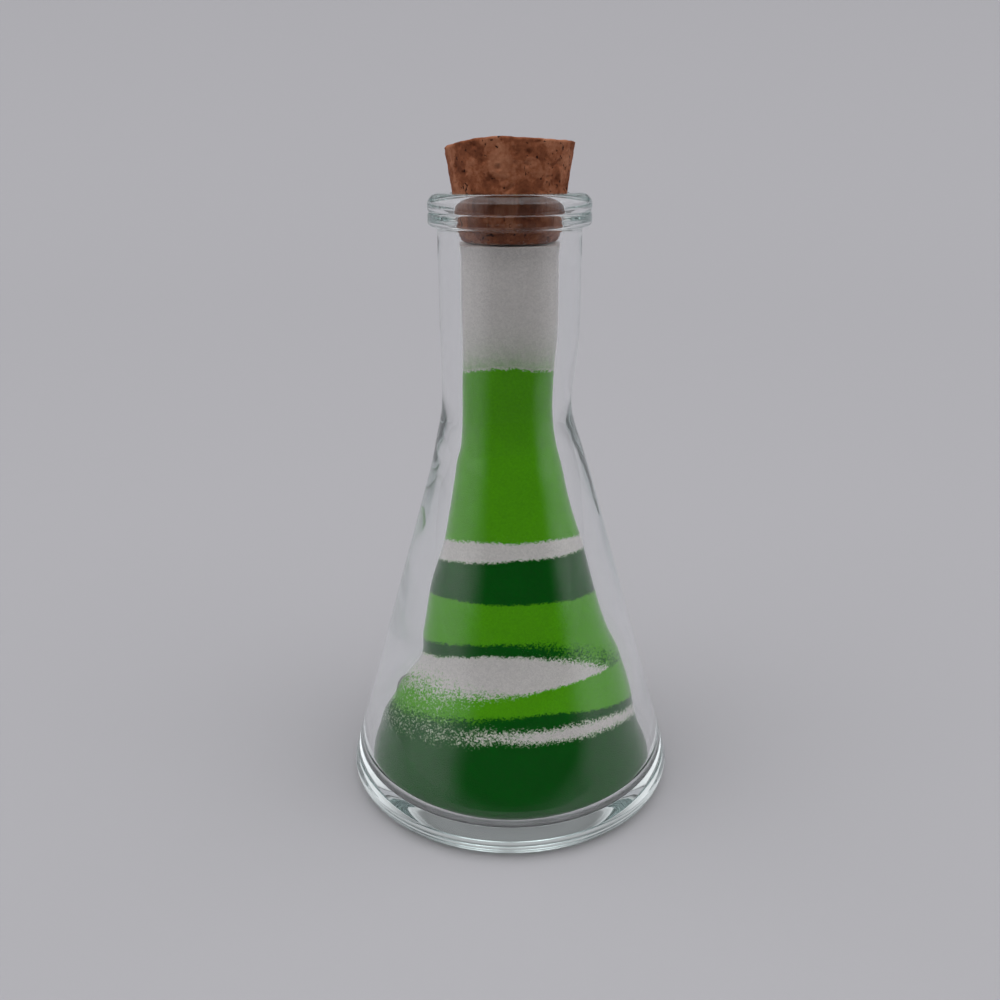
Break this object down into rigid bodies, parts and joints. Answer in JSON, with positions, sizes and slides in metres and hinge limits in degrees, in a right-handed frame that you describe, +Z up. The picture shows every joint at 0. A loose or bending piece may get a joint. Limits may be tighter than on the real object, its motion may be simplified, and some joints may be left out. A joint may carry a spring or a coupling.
{
  "type": "potion bottle",
  "caption": "Small conical bottle of thick clear glass, filled with wavy layers of green and white sand, closed by a tapered cork that lifts out.",
  "frame": {"origin": "middle of the foot, on the surface that the bottle stands on", "axes": "+Z up along the neck's axis, -Y is the front, +X is to the right seen from the front"},
  "size_m": [0.0614, 0.0614, 0.1176],
  "materials": {
    "clear_glass": "clear soda glass, smooth, with a faint green-blue tint where it is thick",
    "pressed_cork": "pressed cork granules, matt, with dark pits",
    "dark_green_sand": "dyed sand, matt, fine grain",
    "lime_sand": "dyed sand, matt, fine grain",
    "white_sand": "white sand, matt, fine grain"
  },
  "bodies": {
    "bottle": {"glass_flask": "clear_glass", "sand_base_dark_green": "dark_green_sand", "sand_line_white": "white_sand", "sand_thin_dark_green": "dark_green_sand", "sand_lime_lower": "lime_sand", "sand_lens_white": "white_sand", "sand_seam_dark_green": "dark_green_sand", "sand_lime_middle": "lime_sand", "sand_band_dark_green": "dark_green_sand", "sand_band_white": "white_sand", "sand_lime_tall": "lime_sand", "sand_neck_white": "white_sand"},
    "stopper": {"cork_stopper": "pressed_cork"}
  },
  "joints": [
    {"name": "cork_lift", "type": "slide", "parent": "bottle", "child": "stopper", "axis": [0, 0, 1], "range_m": [0, 0.02]}
  ]
}
